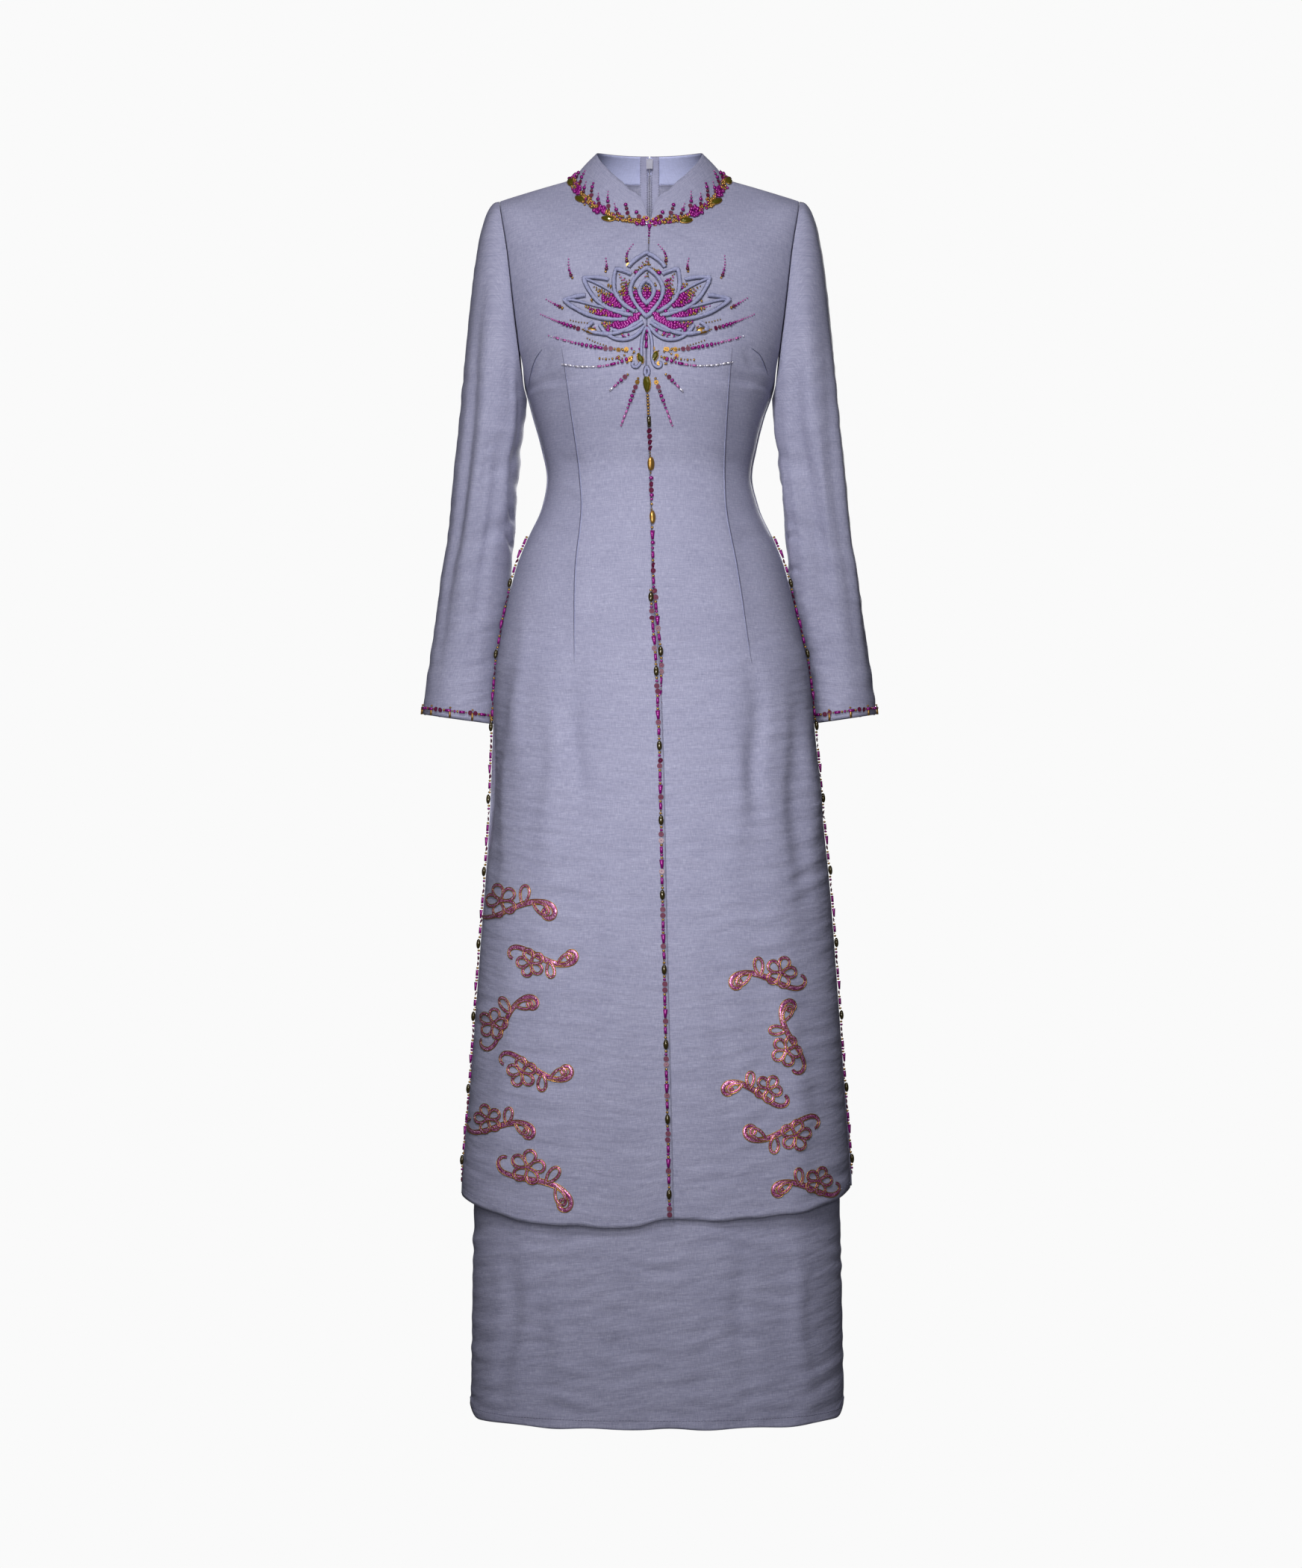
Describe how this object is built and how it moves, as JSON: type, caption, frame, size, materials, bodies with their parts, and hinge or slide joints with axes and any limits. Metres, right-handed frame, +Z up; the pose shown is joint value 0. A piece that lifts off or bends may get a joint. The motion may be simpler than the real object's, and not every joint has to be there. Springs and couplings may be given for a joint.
{
  "type": "ao dai tunic",
  "caption": "Long-sleeved ao dai tunic with a stand collar, split outer front over a longer inner flap, side slits, padded lotus applique and concealed back zip.",
  "frame": {"origin": "where the wearer's neck and shoulders hold the tunic: between the two ends of the neck seam, on the plane of the side seams", "axes": "+Z up, the front faces -Y, +X is the viewer's right seen from the front"},
  "size_m": [0.5252, 0.2644, 1.437],
  "materials": {
    "silk_linen": "slubbed silk and linen weave with a soft lavender and blue sheen",
    "padded_cord": "cord covered in the tunic's own cloth",
    "zip_ribbon": "woven polyester ribbon and coil",
    "zip_metal": "pale lacquered zinc",
    "cut_glass": "faceted olive gold cut glass"
  },
  "bodies": {
    "tunic": {"front_left": "silk_linen", "front_right": "silk_linen", "front_under_flap": "silk_linen", "back_left": "silk_linen", "back_right": "silk_linen", "sleeve_left": "silk_linen", "sleeve_right": "silk_linen", "collar_left": "silk_linen", "collar_right": "silk_linen", "zip_tape_left": "zip_ribbon", "zip_tape_right": "zip_ribbon", "zip_coil": "zip_ribbon", "zip_slider": "zip_metal", "lotus_petal_1": "padded_cord", "lotus_petal_2": "padded_cord", "lotus_petal_3": "padded_cord", "lotus_petal_4": "padded_cord", "lotus_petal_5": "padded_cord", "lotus_petal_6": "padded_cord", "lotus_petal_7": "padded_cord", "lotus_petal_8": "padded_cord", "lotus_petal_9": "padded_cord", "lotus_petal_10": "padded_cord", "lotus_petal_11": "padded_cord", "stone_chest_1": "cut_glass", "stone_chest_2": "cut_glass", "stone_chest_3": "cut_glass", "stone_neck_1": "cut_glass", "stone_neck_2": "cut_glass", "stone_neck_3": "cut_glass", "stone_neck_4": "cut_glass", "stone_neck_5": "cut_glass", "stone_neck_6": "cut_glass"},
    "pull_tab": {"zip_pull_tab": "zip_metal"}
  },
  "joints": [
    {"name": "pull_tab_turn", "type": "hinge", "parent": "tunic", "child": "pull_tab", "pos_m": [0, 0.06353, 0.03214], "axis": [1, 0, 0], "range_deg": [0, 150]}
  ]
}
